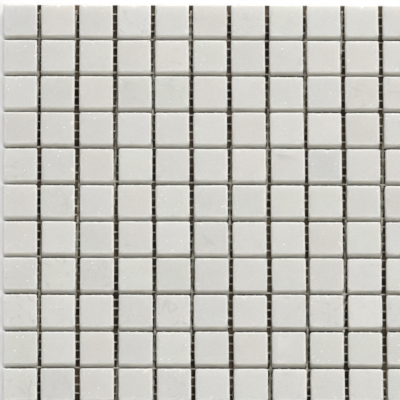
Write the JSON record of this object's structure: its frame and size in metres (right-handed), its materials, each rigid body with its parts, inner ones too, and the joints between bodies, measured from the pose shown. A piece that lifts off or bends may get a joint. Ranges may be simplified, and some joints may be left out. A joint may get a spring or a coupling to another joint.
{
  "type": "mosaic tile sheet",
  "caption": "Flat sheet of small square honed marble chips, set in a straight grid with open joints on a woven glass-fibre backing net.",
  "frame": {"origin": "middle of the sheet's back, on the underside of the net", "axes": "+Z out of the chips' faces, +X along the chip rows, +Y across them"},
  "size_m": [0.302, 0.3064, 0.0101],
  "materials": {
    "marble": "honed",
    "net_yarn": "woven"
  },
  "bodies": {
    "root": {"tile_row_01": "marble", "tile_row_02": "marble", "tile_row_03": "marble", "tile_row_04": "marble", "tile_row_05": "marble", "tile_row_06": "marble", "tile_row_07": "marble", "tile_row_08": "marble", "tile_row_09": "marble", "tile_row_10": "marble", "tile_row_11": "marble", "tile_row_12": "marble", "net_cross": "net_yarn", "net_long": "net_yarn"}
  },
  "joints": []
}
